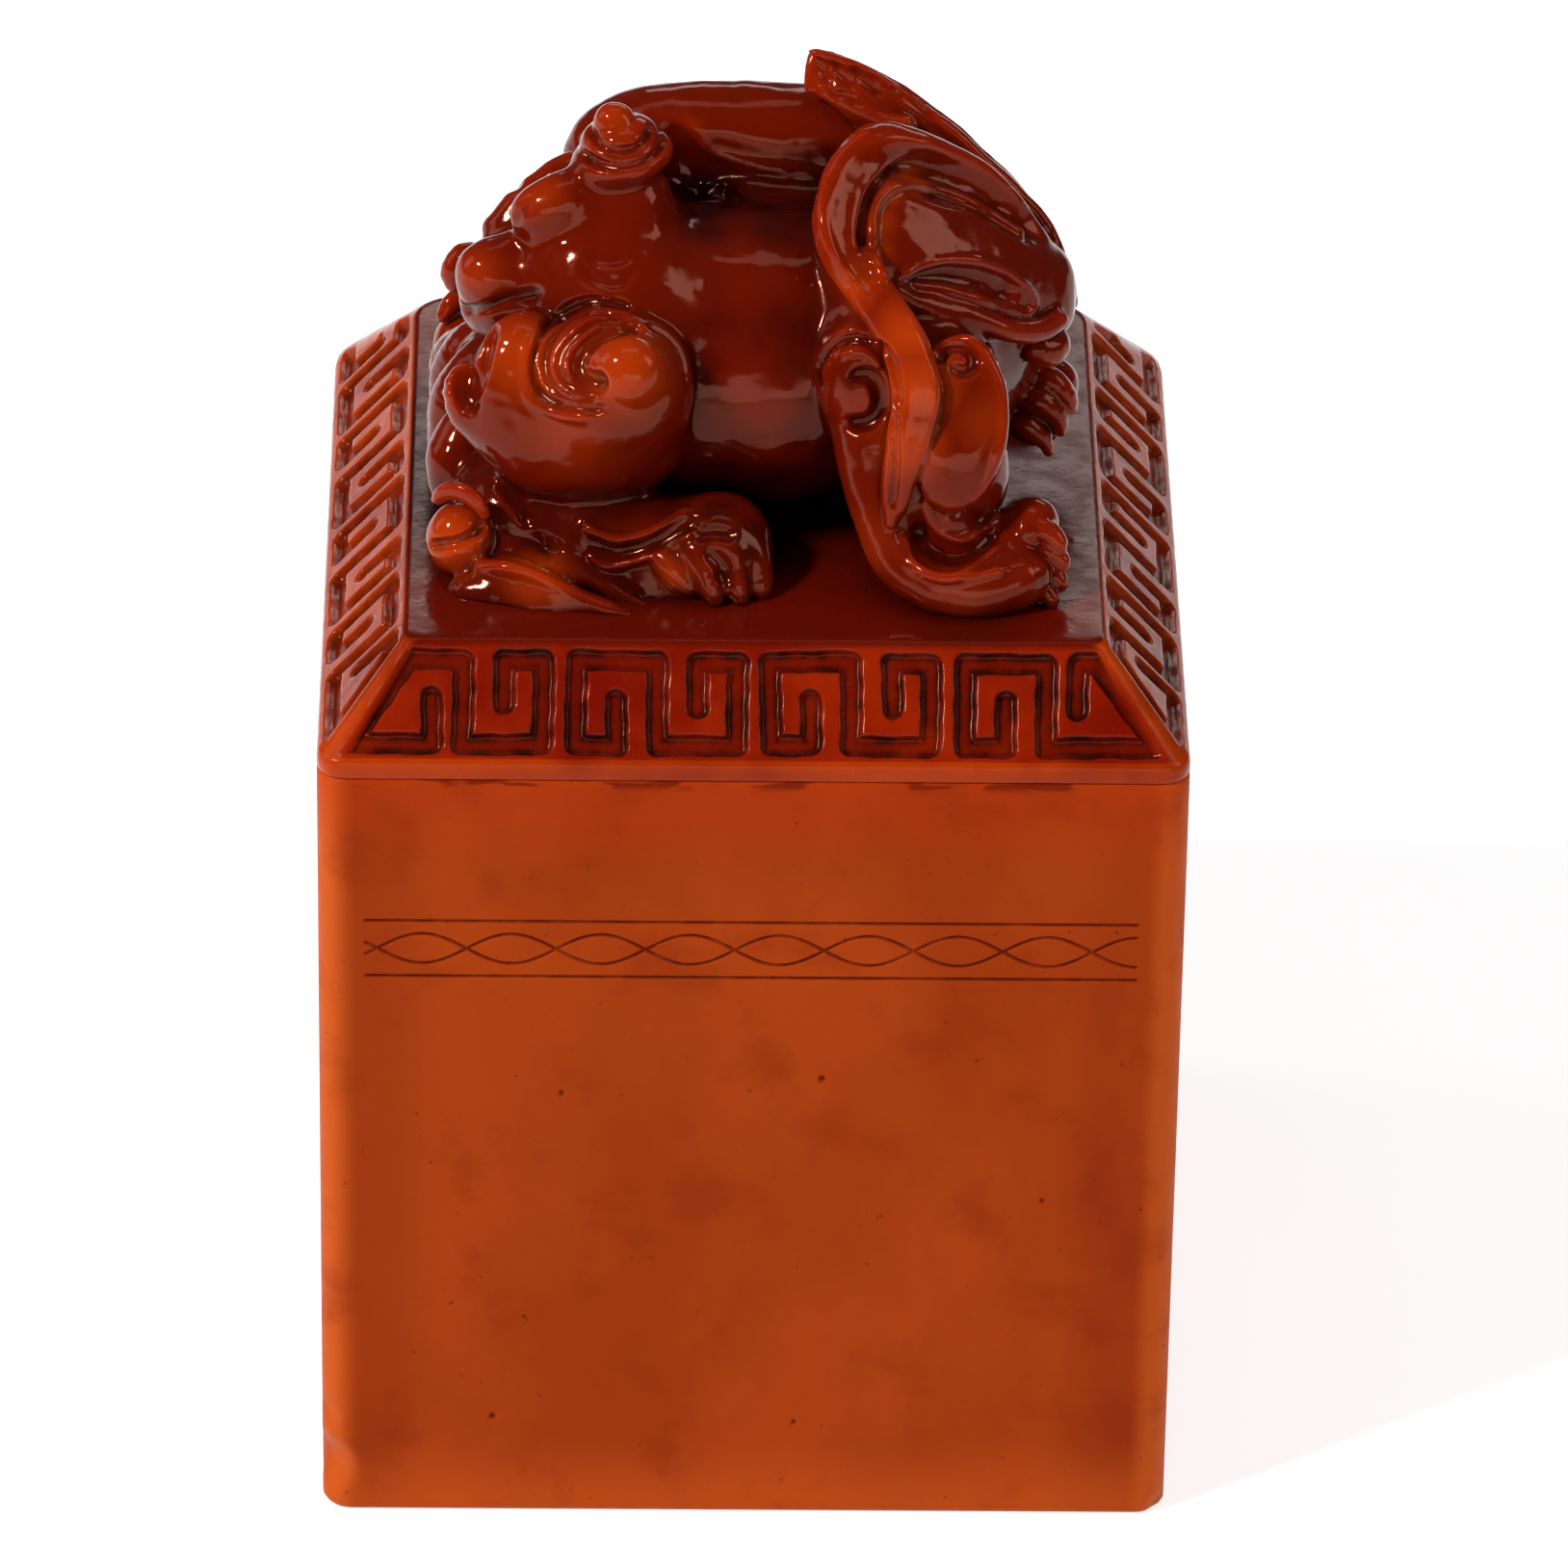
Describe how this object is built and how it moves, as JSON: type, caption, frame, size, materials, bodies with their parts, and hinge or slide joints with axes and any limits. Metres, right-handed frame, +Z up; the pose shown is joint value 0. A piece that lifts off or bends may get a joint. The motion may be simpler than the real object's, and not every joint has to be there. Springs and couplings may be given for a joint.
{
  "type": "seal stamp",
  "caption": "Square stone seal stamp with a chamfered fret-bordered shoulder and a crouching guardian beast carved as its knob.",
  "frame": {"origin": "centre of the flat seal face on the underside", "axes": "+Z up through the knob; the front with the twist band faces -Y; the beast's head is towards -X"},
  "size_m": [0.05, 0.05, 0.0826],
  "materials": {
    "block_stone": "satin, translucent amber-brown stone",
    "cap_stone": "gloss, dark red-brown stone with a dark wash in the fret",
    "beast_stone": "high gloss, dark red-brown stone, amber where it is thin"
  },
  "bodies": {
    "root": {"seal_block": "block_stone", "shoulder_cap": "cap_stone", "beast_knob": "beast_stone"}
  },
  "joints": []
}
